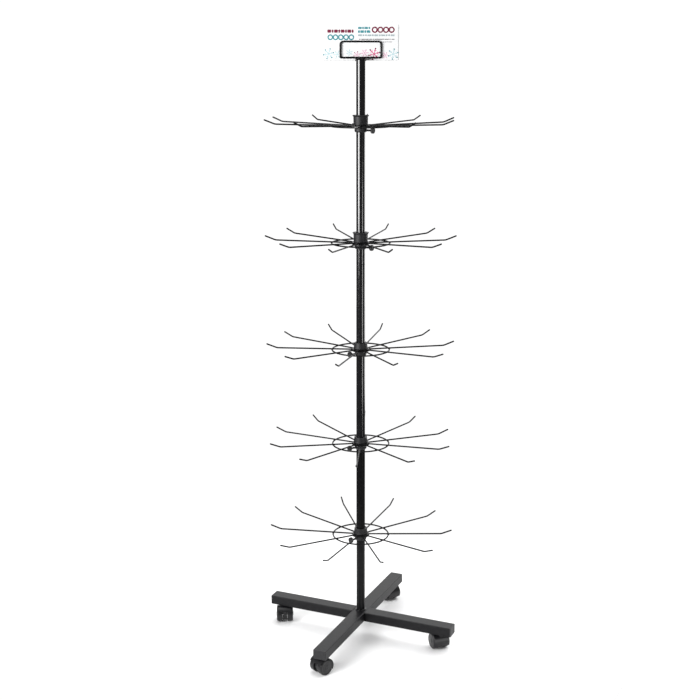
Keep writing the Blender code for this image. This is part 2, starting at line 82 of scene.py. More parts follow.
# Tiers
ARM_COUNT = 10
ARM_RADIUS = 0.0022
ARM_ELBOW = 0.240
ARM_TIP = 0.271
ARM_SLOPE = 0.032
TIP_LIFT = 0.0113
ARM_BEND = 0.005
RING_RADIUS = 0.0823
RING_SINK = 0.0008  # of the ring into the arms
RING_STEPS = 120
WELD_LENGTH = 0.0032
WELD_RADIUS = 0.0016
ROOT_INSIDE = 0.002  # how far an arm's root weld starts inside the disc's edge
ROOT_OUTSIDE = 0.0028  # and how far outside it the weld ends
ROOT_DROP = 0.0002
ROOT_SCALE = 1.12  # the root weld's radius over the arm's
HUB_DISC_RADIUS = 0.0246
HUB_DISC_HALF = 0.0023
BUSH_BORE = 0.0132
BUSH_RADIUS = 0.0170
BUSH_FLANGE_RADIUS = 0.0252
BUSH_FLANGE = 0.0022
BUSH_EDGE = 0.0006
CAP_EDGE_ROUNDING = 0.0007
TALL_CAP = 0.025  # a cap that reaches higher has the lip
CAP_BODY_RADIUS = 0.0205
CAP_LIP_RADIUS = 0.0232
CAP_CROWN = 0.002
LOW_CAP_TOP_RADIUS = 0.0184
COLLAR_BORE = 0.0133
COLLAR_RADIUS = 0.0172
COLLAR_FOOT_RADIUS = 0.0152
COLLAR_TAPER = 0.0028
SCREW_RADIUS = 0.003
SCREW_START = 0.0130
THREAD_PITCH = 0.001
THREAD_DEPTH = 0.0004
KNOB_START = 0.0330
KNOB_END = 0.0415
KNOB_RADIUS = 0.0085
KNOB_FLUTES = 18
FLUTE_DEPTH = 0.0005
SIDES_PER_FLUTE = 8
KNOB_NECK = 0.002  # how much wider the knob's foot is than the screw
KNOB_SIDE = (  # (inset, height) of the knob's fluted loops from its foot
    (0.0004, 0.0006),
    (0.0, 0.0016),
    (0.0, 0.0064),
    (0.0004, 0.0076),
    (0.0012, 0.0083),
)
KNOB_FACE = ((0.0022, 0.0), (0.0034, 0.0), (0.0040, 0.0007))  # (inset, depth) of the dished face
KNOB_DISH = 0.0009  # depth of the face at its middle

# Casters
WHEEL_INSIDE = 0.0075
WHEEL_OUTSIDE = 0.0262
WHEEL_BORE = 0.0033
WHEEL_BORE_END = 0.0222
AXLE_RADIUS = 0.003
AXLE_HALF = 0.0216
HOOD_GAP = 0.0009
HOOD_WALL = 0.0015
HOOD_HALF = 0.0240
HOOD_EDGE = 0.0005
HOOD_START = -28
HOOD_END = 148
HOOD_STEPS = 48
WEB_HALF = 0.007
WEB_FOOT_RADIUS = 0.0185
WEB_FOOT_START = 165
WEB_FOOT_END = 315
WEB_FOOT_STEPS = 40
BOSS_RADIUS = 0.0070
BOSS_FOOT = 0.030
BOSS_EDGE = 0.0006
BOSS_SIDES = 48
STEM_SIDES = 40
TREAD_SIDES = 80
WHEEL_EDGE = 0.0009
HOOD_TOP = 0.0490
STEM_PIN_RADIUS = 0.004
STEM_PIN_FOOT = 0.0345
STEM_FLANGE_RADIUS = 0.009

# Sign
FRAME_WIRE = 0.0024
FRAME_WIDTH = 0.1116
FRAME_CORNER = 0.009
FRAME_BACK = 0.0137
PLUG_FLANGE_RADIUS = 0.0160
PLUG_FLANGE = 0.0045
CLIP_HALF = 0.015
CLIP_WALL = 0.0015
CLIP_TOP = 1.740
CLIP_SINK = 0.0005  # of the front strip below the plug's top
FRAME_LIFT = 0.0036  # plug's top to the upper side of the frame's lower wire
FRAME_FOOT_CORNER = 0.002
PLUG_CHAMFER = 0.0015
PLUG_EDGE = 0.0007
FRAME_SIDES = 20
CARD_CORNER = 0.0015
INK = 0.00012  # how far the print stands off the card

# Camera and light
CAMERA_AZIMUTH = radians(23.32)
CAMERA_PITCH = radians(13.32)
CAMERA_DISTANCE = 3.4641
CAMERA_HEIGHT = 1.7071
CAMERA_LENS = 63.48
CAMERA_SHIFT = -0.0153  # puts the pole a little right of the middle
FLOOR_RADIUS = 0.8
FLOOR_THICKNESS = 0.002
BACKDROP_STRENGTH = 1.05  # as the camera sees it
SURROUND_STRENGTH = 0.10  # as it lights the rack
SUN_STRENGTH = 2.9
SUN_SPREAD = radians(70)
PANEL_DISTANCE = 2.5


# Meshes


def softened(outline, size, steps=4, closed=False):
    """The outline with its corners cut back by size and rounded."""
    points = [Vector(point) for point in outline]
    result = []
    for i, point in enumerate(points):
        if not closed and i in (0, len(points) - 1):
            result.append(point)
            continue
        before = points[i - 1] - point
        after = points[(i + 1) % len(points)] - point
        start = point + before.normalized() * min(size, before.length * 0.45)
        end = point + after.normalized() * min(size, after.length * 0.45)
        for k in range(steps + 1):
            t = k / steps
            result.append(start * (1 - t) ** 2 + point * (2 * t * (1 - t)) + end * t * t)
    return result


def band(bm, first, second):
    """Faces between two loops; a loop of one vertex is the point of a fan."""
    count = max(len(first), len(second))
    for i in range(count):
        corners = [first[i % len(first)], first[(i + 1) % len(first)]]
        corners += [second[(i + 1) % len(second)], second[i % len(second)]]
        bm.faces.new(list(dict.fromkeys(corners)))


def loft(loops, closed=False):
    """A solid through loops of points; open ends are capped unless they are single points."""
    bm = bmesh.new()
    rings = [[bm.verts.new(point) for point in loop] for loop in loops]
    for first, second in zip(rings, rings[1:]):
        band(bm, first, second)
    if closed:
        band(bm, rings[-1], rings[0])
        return bm
    for end in (rings[0], rings[-1]):
        if len(end) > 2:
            bm.faces.new(end)
    return bm


def circle(radius, height, sides):
    if radius < 1e-7:
        return [(0, 0, height)]
    angles = [2 * pi * i / sides for i in range(sides)]
    return [(radius * cos(a), radius * sin(a), height) for a in angles]


def turned(outline, sides=ROUND_SIDES, closed=False):
    """A solid turned about Z from (radius, height) points."""
    return loft([circle(r, z, sides) for r, z in outline], closed)


def to_x(bm):
    """Lays a solid that was made along Z down along X."""
    bmesh.ops.rotate(bm, matrix=Matrix.Rotation(pi / 2, 3, "Y"), verts=bm.verts)
    return bm


def to_y(bm):
    """Lays a solid that was made along Z down along Y."""
    bmesh.ops.rotate(bm, matrix=Matrix.Rotation(-pi / 2, 3, "X"), verts=bm.verts)
    return bm


def moved(bm, *offset):
    bmesh.ops.translate(bm, vec=Vector(offset), verts=bm.verts)
    return bm


def box(low, high):
    corners = ((0, 0), (1, 0), (1, 1), (0, 1))
    ends = (low, high)
    return loft([[(ends[i][0], ends[j][1], end[2]) for i, j in corners] for end in ends])


def dome(centre, along, radius, steps=4):
    """Stations that round off the end of a wire; along points out of the end."""
    found = []
    for k in range(steps + 1):
        angle = pi / 2 * k / steps
        shift = along * (radius * (sin(angle) - 1))
        size = 0.0 if k == steps else radius * cos(angle)
        found.append((centre + shift, size))
    return found


def stations(points, radius, closed):
    """(centre, direction, radius) along a wire, with domed ends unless it is closed."""
    count = len(points)
    if closed:
        steps = [points[(i + 1) % count] - points[i - 1] for i in range(count)]
        return [(point, step.normalized(), radius) for point, step in zip(points, steps)]
    first = (points[1] - points[0]).normalized()
    last = (points[-1] - points[-2]).normalized()
    found = [(centre, first, size) for centre, size in reversed(dome(points[0], -first, radius))]
    for i in range(1, count - 1):
        found.append((points[i], (points[i + 1] - points[i - 1]).normalized(), radius))
    found += [(centre, last, size) for centre, size in dome(points[-1], last, radius)]
    return found


def tube(path, radius, sides=WIRE_SIDES, closed=False):
    """A round wire along a path of points."""
    rings = stations([Vector(point) for point in path], radius, closed)
    side = rings[0][1].orthogonal()
    loops = []
    for centre, along, size in rings:
        side = (side - along * side.dot(along)).normalized()
        up = along.cross(side)
        if size == 0:
            loops.append([centre])
            continue
        angles = [2 * pi * k / sides for k in range(sides)]
        loops.append([centre + (side * cos(a) + up * sin(a)) * size for a in angles])
    return loft(loops, closed)


def finished(bm, name):
    """A mesh from bm with its faces pointing out and its round faces shaded smooth."""
    bmesh.ops.recalc_face_normals(bm, faces=bm.faces)
    mesh = bpy.data.meshes.new(name)
    bm.to_mesh(mesh)
    bm.free()
    mesh.shade_smooth()
    mesh.set_sharp_from_angle(angle=radians(40))
    return mesh


def temporary(bm):
    made = bpy.data.objects.new("step", finished(bm, "step"))
    bpy.context.scene.collection.objects.link(made)
    return made


def combined(base, others, operation):
    """The mesh of base with each of the others joined to it or cut from it."""
    first = temporary(base)
    tools = [temporary(other) for other in others]
    for tool in tools:
        step = first.modifiers.new("step", "BOOLEAN")
        step.object = tool
        step.operation = operation
        step.solver = "EXACT"
    graph = bpy.context.evaluated_depsgraph_get()
    mesh = bpy.data.meshes.new_from_object(first.evaluated_get(graph))
    for item in (first, *tools):
        bpy.data.objects.remove(item, do_unlink=True)
    bm = bmesh.new()
    bm.from_mesh(mesh)
    bpy.data.meshes.remove(mesh)
    bmesh.ops.remove_doubles(bm, verts=bm.verts, dist=1e-6)
    return bm


def joined(solids):
    """One mesh that holds several solids as they are."""
    result = bmesh.new()
    for solid in solids:
        mesh = bpy.data.meshes.new("part")
        bmesh.ops.recalc_face_normals(solid, faces=solid.faces)
        solid.to_mesh(mesh)
        solid.free()
        result.from_mesh(mesh)
        bpy.data.meshes.remove(mesh)
    return result


def even_shading(made):
    """Lets the large faces decide the shading, so that long flats and tubes look straight."""
    shading = made.modifiers.new("even_shading", "WEIGHTED_NORMAL")
    shading.mode = "FACE_AREA"
    shading.weight = 100
    shading.keep_sharp = True


def stand_in(name, mesh, finish, node, location=(0, 0, 0), turn=0.0):
    """A piece that shows in place of a CAD node and moves with its body."""
    placed = mesh.copy()
    placed.transform(Matrix.Translation(location) @ Matrix.Rotation(turn, 4, "Z"))
    placed.materials.append(finish)
    made = bpy.data.objects.new(name, placed)
    even_shading(made)
    bpy.context.scene.collection.objects.link(made)
    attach(made, BODY_OF[node])
    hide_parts(node)
    return made


# Finishes


def new_finish(name, slot):
    made = bpy.data.materials.new(name)
    made.use_nodes = True
    made["slot"] = slot
    return made


def noise(made, scale, detail=3.0, stretch=(1, 1, 1)):
    """A noise texture in the piece's own metres; scale is how many grains fit in a metre."""
    nodes = made.node_tree.nodes
    links = made.node_tree.links
    place = nodes.new("ShaderNodeTexCoord")
    mapping = nodes.new("ShaderNodeMapping")
    mapping.inputs["Scale"].default_value = stretch
    texture = nodes.new("ShaderNodeTexNoise")
    texture.inputs["Scale"].default_value = scale
    texture.inputs["Detail"].default_value = detail
    links.new(place.outputs["Object"], mapping.inputs["Vector"])
    links.new(mapping.outputs["Vector"], texture.inputs["Vector"])
    return texture.outputs["Fac"]


def vary(made, source, low, high):
    """A value that follows a texture from low to high."""
    spread = made.node_tree.nodes.new("ShaderNodeMapRange")
    spread.inputs["From Min"].default_value = 0.3
    spread.inputs["From Max"].default_value = 0.7
    spread.inputs["To Min"].default_value = low
    spread.inputs["To Max"].default_value = high
    made.node_tree.links.new(source, spread.inputs["Value"])
    return spread.outputs["Result"]


def colour_of(made, source, dark, light):
    """Base colour that follows a texture from dark to light."""
    ramp = made.node_tree.nodes.new("ShaderNodeValToRGB")
    ramp.color_ramp.elements[0].position = 0.3
    ramp.color_ramp.elements[0].color = (*dark, 1)
    ramp.color_ramp.elements[1].position = 0.7
    ramp.color_ramp.elements[1].color = (*light, 1)
    made.node_tree.links.new(source, ramp.inputs["Fac"])
    made.node_tree.links.new(ramp.outputs["Color"], shader(made).inputs["Base Color"])


def shader(made):
    return made.node_tree.nodes["Principled BSDF"]


def roughness_of(made, source, low, high):
    made.node_tree.links.new(vary(made, source, low, high), shader(made).inputs["Roughness"])


def bump_of(made, source, height, strength=1.0):
    """Raises the surface by up to height metres where the texture is bright."""
    bump = made.node_tree.nodes.new("ShaderNodeBump")
    bump.inputs["Distance"].default_value = height
    bump.inputs["Strength"].default_value = strength
    made.node_tree.links.new(source, bump.inputs["Height"])
    made.node_tree.links.new(bump.outputs["Normal"], shader(made).inputs["Normal"])


def gloss_black():
    """Smooth black powder coat with a faint orange peel."""
    made = new_finish("gloss_black_coat", "black_powder_coat")
    shader(made).inputs["IOR"].default_value = 1.75
    peel = noise(made, 700, 2.0)
    colour_of(made, noise(made, 60), (0.003, 0.003, 0.004), (0.006, 0.006, 0.007))
    roughness_of(made, noise(made, 180), 0.13, 0.19)
    bump_of(made, peel, 0.000004, 0.1)
    return made


def wire_black():
    """Black powder coat of the wires, a little duller than the pole's."""
    made = new_finish("wire_black_coat", "black_powder_coat")
    shader(made).inputs["Specular IOR Level"].default_value = 0.15
    peel = noise(made, 900, 2.0)
    colour_of(made, noise(made, 120), (0.003, 0.003, 0.003), (0.007, 0.007, 0.008))
    roughness_of(made, peel, 0.26, 0.34)
    bump_of(made, peel, 0.00001, 0.25)
    return made


def satin_black():
    """Fine-textured black powder coat of the base."""
    made = new_finish("satin_black_coat", "black_powder_coat")
    shader(made).inputs["Specular IOR Level"].default_value = 0.22
    grain = noise(made, 1500, 3.0)
    colour_of(made, noise(made, 90), (0.003, 0.003, 0.004), (0.007, 0.007, 0.008))
    roughness_of(made, grain, 0.34, 0.46)
    bump_of(made, grain, 0.00004, 0.7)
    return made


def textured_plastic():
    made = new_finish("moulded_black_plastic", "black_plastic")
    grain = noise(made, 1900, 4.0)
    shader(made).inputs["Specular IOR Level"].default_value = 0.4
    colour_of(made, noise(made, 150), (0.009, 0.009, 0.010), (0.020, 0.020, 0.022))
    roughness_of(made, grain, 0.42, 0.60)
    bump_of(made, grain, 0.00008, 0.8)
    return made


def satin_rim():
    """The hub bush, a smoother plastic than its cap."""
    made = new_finish("smooth_black_plastic", "black_plastic")
    grain = noise(made, 900, 2.0)
    colour_of(made, noise(made, 150), (0.012, 0.012, 0.013), (0.024, 0.024, 0.026))
    roughness_of(made, grain, 0.25, 0.36)
    bump_of(made, grain, 0.00002, 0.5)
    return made


def satin_nylon():
    made = new_finish("satin_black_nylon", "black_nylon")
    grain = noise(made, 1100, 2.0)
    shader(made).inputs["Specular IOR Level"].default_value = 0.4
    colour_of(made, noise(made, 120), (0.004, 0.004, 0.005), (0.010, 0.010, 0.011))
    roughness_of(made, grain, 0.30, 0.42)
    bump_of(made, grain, 0.00003, 0.5)
    return made


def bright_zinc():
    made = new_finish("zinc_plating", "zinc")
    shader(made).inputs["Metallic"].default_value = 1.0
    streaks = noise(made, 900, 3.0, (1, 1, 0.08))
    colour_of(made, noise(made, 200), (0.50, 0.51, 0.53), (0.66, 0.67, 0.69))
    roughness_of(made, streaks, 0.24, 0.40)
    bump_of(made, streaks, 0.00001, 0.5)
    return made


def white_card():
    made = new_finish("printed_card", "card_stock")
    fibres = noise(made, 2500, 4.0)
    colour_of(made, noise(made, 40), (0.86, 0.87, 0.88), (0.93, 0.93, 0.94))
    roughness_of(made, fibres, 0.50, 0.62)
    bump_of(made, fibres, 0.00002, 0.5)
    return made


def ink(name, colour):
    made = new_finish(name, "card_stock")
    dark = [channel * 0.86 for channel in colour]
    fibres = noise(made, 2500, 4.0)
    colour_of(made, noise(made, 500), dark, colour)
    roughness_of(made, fibres, 0.40, 0.52)
    bump_of(made, fibres, 0.00001, 0.5)
    return made


# Base and pole


def leg_section(inset, x, middle, width, height):
    """A rounded rectangle in the plane at x."""
    half_y = width / 2 - inset
    half_z = height / 2 - inset
    corner = max(LEG_CORNER - inset, LEAST_CORNER)
    corners = [(half_y, half_z), (-half_y, half_z), (-half_y, -half_z), (half_y, -half_z)]
    points = softened(corners, corner, 6, closed=True)
    return [(x, y, middle + z) for y, z in points]


def leg_measures():
    """(foot, top, width) of the legs."""
    low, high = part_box("leg_left_right")
    return low.z, high.z, high.y - low.y


def leg_tube(notch_at_top):
    foot, top, width = leg_measures()
    middle = (foot + top) / 2
    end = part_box("leg_left_right")[1].x
    rings = [(0, -end), (0, end), (LEG_WALL, end), (LEG_WALL, -end)]
    sections = [leg_section(inset, x, middle, width, top - foot) for inset, x in rings]
    half = width / 2 + GAP
    if notch_at_top:
        notch = box((-half, -width, middle - GAP), (half, width, top + width))
    else:
        notch = box((-half, -width, foot - width), (half, width, middle + GAP))
    bolt_hole = turned([(BOLT_RADIUS + GAP, 0), (BOLT_RADIUS + GAP, top + width)], BORE_SIDES)
    cutters = [notch, bolt_hole]
    reach = JOINTS["caster_right_swivel"]["pos_m"][0]
    for side in (-1, 1):
        hole = turned([(STEM_SHANK_RADIUS + GAP, 0), (STEM_SHANK_RADIUS + GAP, middle)], BORE_SIDES)
        cutters.append(moved(hole, side * reach, 0, 0))
    return combined(loft(sections, closed=True), cutters, "DIFFERENCE")


def end_cap():
    """A plug whose rounded flange covers the end of a leg at +X."""
    foot, top, width = leg_measures()
    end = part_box("end_cap_right")[1].x
    inset = LEG_WALL + GAP
    flange = end - CAP_FLANGE
    rings = [(inset + CAP_EDGE, flange - CAP_DEPTH), (inset, flange - CAP_DEPTH + CAP_EDGE)]
    rings += [(inset, flange), (0, flange)]
    for step in range(6):
        angle = pi / 2 * step / 5
        rings.append((CAP_EDGE * (1 - cos(angle)), end - CAP_EDGE + CAP_EDGE * sin(angle)))
    return loft([leg_section(i, x, (foot + top) / 2, width, top - foot) for i, x in rings])


def pole_socket():
    low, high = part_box("pole_socket")
    flange = high.x
    flange_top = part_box("pole_lower_tube")[0].z - GAP
    hole = BOLT_RADIUS + GAP
    hole_top = low.z + SOCKET_HOLE
    outline = [(0, hole_top), (hole, hole_top), (hole, low.z), (flange, low.z)]
    outline += [(flange, flange_top), (NECK_RADIUS, flange_top), (NECK_RADIUS, high.z), (0, high.z)]
    return turned(softened(outline, SMALL_EDGE))


def base_washer():
    low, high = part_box("base_washer")
    inner = BOLT_RADIUS + GAP
    outline = [(inner, high.z), (high.x, high.z), (high.x, low.z), (inner, low.z)]
    return turned(softened(outline, WASHER_EDGE, closed=True), closed=True)


def base_bolt():
    low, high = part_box("base_bolt")
    head_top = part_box("base_washer")[0].z - GAP
    half = high.x
    edge = SMALL_EDGE
    head = turned([(half - edge, low.z), (half, low.z + edge), (half, head_top)], 6)
    outline = [(BOLT_RADIUS, low.z + BOLT_ROOT), (BOLT_RADIUS, high.z - edge)]
    outline.append((BOLT_RADIUS - edge, high.z))
    return combined(head, [turned(outline, BORE_SIDES)], "UNION")


def pole_tube(node, has_neck):
    """An open tube with rounded ends; its neck stands up inside the next tube."""
    low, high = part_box(node)
    inside = POLE_RADIUS - POLE_WALL
    top = high.z - NECK_LENGTH if has_neck else high.z
    outside = [(inside, low.z), (POLE_RADIUS, low.z), (POLE_RADIUS, top)]
    if has_neck:
        bore = NECK_RADIUS - POLE_WALL
        outside += [(NECK_RADIUS, top), (NECK_RADIUS, high.z), (bore, high.z)]
        outside += [(bore, top - NECK_STEP), (inside, top - NECK_STEP - NECK_TAPER)]
    else:
        outside += [(inside, top)]
    return turned(softened(outside, POLE_EDGE, closed=True), closed=True)


def make_base(finishes):
    coat, plastic, zinc = finishes["satin"], finishes["plastic"], finishes["zinc"]
    stand_in("leg_upper", finished(leg_tube(False), "leg_upper"), coat, "leg_front_back", turn=pi / 2)
    stand_in("leg_lower", finished(leg_tube(True), "leg_lower"), coat, "leg_left_right")
    cap = finished(end_cap(), "leg_end")
    for name in ("right", "back", "left", "front"):
        place = JOINTS[f"caster_{name}_swivel"]["pos_m"]
        stand_in(f"leg_end_{name}", cap, plastic, f"end_cap_{name}", turn=atan2(place[1], place[0]))
    stand_in("pole_foot", finished(pole_socket(), "pole_foot"), finishes["gloss"], "pole_socket")
    stand_in("washer_under_base", finished(base_washer(), "washer"), zinc, "base_washer")
    stand_in("bolt_under_base", finished(base_bolt(), "bolt"), zinc, "base_bolt")
    tubes = (("lower", True, "wire"), ("middle", True, "gloss"), ("upper", False, "gloss"))
    for part, has_neck, finish in tubes:
        node = f"pole_{part}_tube"
        stand_in(f"{part}_tube", finished(pole_tube(node, has_neck), part), finishes[finish], node)


# Tiers, each made with the wires' height at zero


def hook_arm():
    """One arm along +X with its welds to the ring and the disc."""
    start = (BUSH_RADIUS + HUB_DISC_RADIUS) / 2
    elbow = (ARM_ELBOW, 0, ARM_SLOPE * ARM_ELBOW)
    tip = (ARM_TIP, 0, ARM_SLOPE * ARM_TIP + TIP_LIFT)
    solids = [tube(softened([(start, 0, 0), elbow, tip], ARM_BEND, 6), ARM_RADIUS)]
    weld_height = ARM_SLOPE * RING_RADIUS - ARM_RADIUS
    for side in (-1, 1):
        across = side * ARM_RADIUS * 0.8
        reaches = (RING_RADIUS - WELD_LENGTH, RING_RADIUS + WELD_LENGTH)
        solids.append(tube([(x, across, weld_height) for x in reaches], WELD_RADIUS, 10))
    reaches = (HUB_DISC_RADIUS - ROOT_INSIDE, HUB_DISC_RADIUS + ROOT_OUTSIDE)
    solids.append(tube([(x, 0, -ROOT_DROP) for x in reaches], ARM_RADIUS * ROOT_SCALE, 12))
    return solids


def hook_wheel():
    """Ten hook arms welded to a hub disc and to the ring under them."""
    disc_outline = [(BUSH_RADIUS + GAP, -HUB_DISC_HALF), (HUB_DISC_RADIUS, -HUB_DISC_HALF)]
    disc_outline += [(HUB_DISC_RADIUS, HUB_DISC_HALF), (BUSH_RADIUS + GAP, HUB_DISC_HALF)]
    disc = turned(softened(disc_outline, SMALL_EDGE, closed=True), closed=True)
    ring_height = ARM_SLOPE * RING_RADIUS - 2 * ARM_RADIUS + RING_SINK
    ring = tube(circle(RING_RADIUS, ring_height, RING_STEPS), ARM_RADIUS, closed=True)
    solids = [disc, ring]
    for i in range(ARM_COUNT):
        turn = Matrix.Rotation(2 * pi * i / ARM_COUNT, 3, "Z")
        for solid in hook_arm():
            bmesh.ops.rotate(solid, matrix=turn, verts=solid.verts)
            solids.append(solid)
    return joined(solids)


def hub_bush(cap_top):
    flange_top = -HUB_DISC_HALF - GAP
    flange_foot = flange_top - BUSH_FLANGE
    top = cap_top - CAP_CROWN - GAP
    outline = [(BUSH_BORE, flange_foot), (BUSH_FLANGE_RADIUS, flange_foot)]
    outline += [(BUSH_FLANGE_RADIUS, flange_top), (BUSH_RADIUS, flange_top)]
    outline += [(BUSH_RADIUS, top), (BUSH_BORE, top)]
    return turned(softened(outline, BUSH_EDGE, closed=True), closed=True)


def tall_cap_side(top):
    """The outer side of a cap with a lip that flares round its top."""
    return [
        (CAP_BODY_RADIUS, top - 0.0044),
        (CAP_LIP_RADIUS, top - 0.0016),
        (CAP_LIP_RADIUS, top),
        (CAP_LIP_RADIUS - 0.0018, top),
        (BUSH_RADIUS, top - 0.0011),
        (BUSH_BORE + 0.0012, top - 0.0011),
    ]


def low_cap_side(top):
    """The outer side of a cap that narrows to its top."""
    return [(LOW_CAP_TOP_RADIUS, top), (BUSH_RADIUS - 0.0008, top), (BUSH_RADIUS - 0.0014, top - 0.0006)]


def hub_cap(side, top):
    foot = HUB_DISC_HALF + GAP
    inside = BUSH_RADIUS + GAP
    outline = [(inside, foot), (CAP_BODY_RADIUS, foot)]
    outline += [(CAP_BODY_RADIUS, foot + 0.0024), (CAP_BODY_RADIUS - 0.0005, foot + 0.0030)]
    outline += side
    outline += [(BUSH_BORE, side[-1][1]), (BUSH_BORE, top - CAP_CROWN), (inside, top - CAP_CROWN)]
    return turned(softened(outline, CAP_EDGE_ROUNDING, closed=True), closed=True)


def clamp_collar(foot, top, screw_height):
    """A collar with a side hole along +X for its thumb screw."""
    outline = [(COLLAR_BORE, foot), (COLLAR_FOOT_RADIUS, foot)]
    outline.append((COLLAR_RADIUS, foot + COLLAR_TAPER))
    outline += [(COLLAR_RADIUS, top), (COLLAR_BORE, top)]
    collar = turned(softened(outline, SMALL_EDGE, closed=True), closed=True)
    hole = to_x(turned([(SCREW_RADIUS + GAP, 0), (SCREW_RADIUS + GAP, 2 * COLLAR_RADIUS)], BORE_SIDES))
    return combined(collar, [moved(hole, 0, 0, screw_height)], "DIFFERENCE")


def fluted(radius, height, sides):
    """A loop whose radius dips into grooves for the fingers."""
    loop = []
    for i in range(sides):
        angle = 2 * pi * i / sides
        size = radius - FLUTE_DEPTH * (1 - cos(KNOB_FLUTES * angle)) / 2
        loop.append((size * cos(angle), size * sin(angle), height))
    return loop


def screw_shank():
    """The threaded shank along Z, ending just inside the knob."""
    root = SCREW_RADIUS - THREAD_DEPTH
    outline = [(0, SCREW_START), (root, SCREW_START)]
    for i in range(int((KNOB_START - SCREW_START) / THREAD_PITCH)):
        height = SCREW_START + i * THREAD_PITCH
        outline += [(SCREW_RADIUS, height + THREAD_PITCH / 2), (root, height + THREAD_PITCH)]
    end = KNOB_START + THREAD_PITCH
    outline += [(SCREW_RADIUS, KNOB_START), (SCREW_RADIUS, end), (0, end)]
    return turned(outline, BORE_SIDES)


def thumb_screw():
    """A threaded screw along +X with a fluted round knob."""
    sides = KNOB_FLUTES * SIDES_PER_FLUTE
    foot = KNOB_START
    loops = [circle(SCREW_RADIUS + KNOB_NECK, foot, sides)]
    loops.append(circle(KNOB_RADIUS - KNOB_SIDE[-1][0], foot, sides))
    loops += [fluted(KNOB_RADIUS - inset, foot + height, sides) for inset, height in KNOB_SIDE]
    loops += [circle(KNOB_RADIUS - inset, KNOB_END - depth, sides) for inset, depth in KNOB_FACE]
    loops.append(circle(0, KNOB_END - KNOB_DISH, sides))
    return to_x(joined([screw_shank(), loft(loops)]))


def arm_turn(node):
    """The turn of a hook wheel's arms, read from where its tips are."""
    tips = [v.co for v in frame["nodes"][node].data.vertices if hypot(v.co.x, v.co.y) > ARM_TIP - 0.003]
    across = sum(sin(ARM_COUNT * atan2(tip.y, tip.x)) for tip in tips)
    along = sum(cos(ARM_COUNT * atan2(tip.y, tip.x)) for tip in tips)
    return atan2(across, along) / ARM_COUNT


def make_tiers(finishes):
    plastic = finishes["plastic"]
    wheel = finished(hook_wheel(), "hook_wheel")
    screw = finished(thumb_screw(), "thumb_screw")
    for number in range(1, 6):
        name = f"tier{number}"
        height = JOINTS[f"{name}_turn"]["pos_m"][2]
        screw_joint = JOINTS[f"{name}_screw_turn"]
        screw_turn = atan2(screw_joint["axis"][1], screw_joint["axis"][0])
        screw_height = screw_joint["pos_m"][2] - height
        cap_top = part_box(f"{name}_hub_cap")[1].z - height
        tall = cap_top > TALL_CAP
        side = tall_cap_side(cap_top) if tall else low_cap_side(cap_top)
        low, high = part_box(f"{name}_clamp_collar")
        collar = finished(clamp_collar(low.z - height, high.z - height, screw_height), "collar")
        at = (0, 0, height)
        turn = arm_turn(f"{name}_hook_wheel")
        stand_in(f"{name}_hooks", wheel, finishes["wire"], f"{name}_hook_wheel", at, turn)
        bush = finished(hub_bush(cap_top), "bush")
        stand_in(f"{name}_bush", bush, finishes["rim"], f"{name}_hub_bush", at, turn)
        cap = finished(hub_cap(side, cap_top), "cap")
        stand_in(f"{name}_cap", cap, plastic, f"{name}_hub_cap", at, turn)
        stand_in(f"{name}_collar", collar, plastic, f"{name}_clamp_collar", at, screw_turn)
        screw_at = (0, 0, height + screw_height)
        stand_in(f"{name}_screw", screw, plastic, f"{name}_thumb_screw", screw_at, screw_turn)


# Casters, each made with its stem's axis on Z and its wheels trailing to -X


def arc(trail, middle, radius, first, last, steps):
    """Points (x, z) on an arc about the axle, at angles in degrees."""
    angles = [radians(first + (last - first) * i / steps) for i in range(steps + 1)]
    return [(-trail + radius * cos(a), middle + radius * sin(a)) for a in angles]


def fender(trail, wheel_radius):
    """The curved cover over both wheels, with its long edges rounded."""
    inner = wheel_radius + HOOD_GAP
    outer = inner + HOOD_WALL
    loops = []
    for y, inset in ((-HOOD_HALF, 1), (-HOOD_HALF, 0), (HOOD_HALF, 0), (HOOD_HALF, 1)):
        trim = HOOD_EDGE * inset
        shift = 0 if inset else (HOOD_EDGE if y < 0 else -HOOD_EDGE)
        outline = arc(trail, wheel_radius, outer - trim, HOOD_START, HOOD_END, HOOD_STEPS)
        outline += arc(trail, wheel_radius, inner + trim, HOOD_END, HOOD_START, HOOD_STEPS)
        loops.append([(x, y + shift, z) for x, z in outline])
    return loft(loops)


def caster_hood(trail, wheel_radius):
    middle_radius = wheel_radius + HOOD_GAP + HOOD_WALL / 2
    web_outline = arc(trail, wheel_radius, middle_radius, HOOD_START, HOOD_END, HOOD_STEPS)
    foot = (WEB_FOOT_RADIUS, WEB_FOOT_START, WEB_FOOT_END, WEB_FOOT_STEPS)
    web_outline += arc(trail, wheel_radius, *foot)
    web = loft([[(x, y, z) for x, z in web_outline] for y in (-WEB_HALF, WEB_HALF)])
    boss_outline = [(BOSS_RADIUS, BOSS_FOOT), (BOSS_RADIUS, HOOD_TOP - BOSS_EDGE)]
    boss_outline.append((BOSS_RADIUS - BOSS_EDGE, HOOD_TOP))
    boss = turned(boss_outline, BOSS_SIDES)
    solid = combined(fender(trail, wheel_radius), [web, boss], "UNION")
    socket_radius = STEM_PIN_RADIUS + GAP
    socket = turned([(socket_radius, STEM_PIN_FOOT - GAP), (socket_radius, 2 * HOOD_TOP)], BORE_SIDES)
    bore = to_y(turned([(WHEEL_BORE, -AXLE_HALF), (WHEEL_BORE, AXLE_HALF)], BORE_SIDES))
    return combined(solid, [socket, moved(bore, -trail, 0, wheel_radius)], "DIFFERENCE")


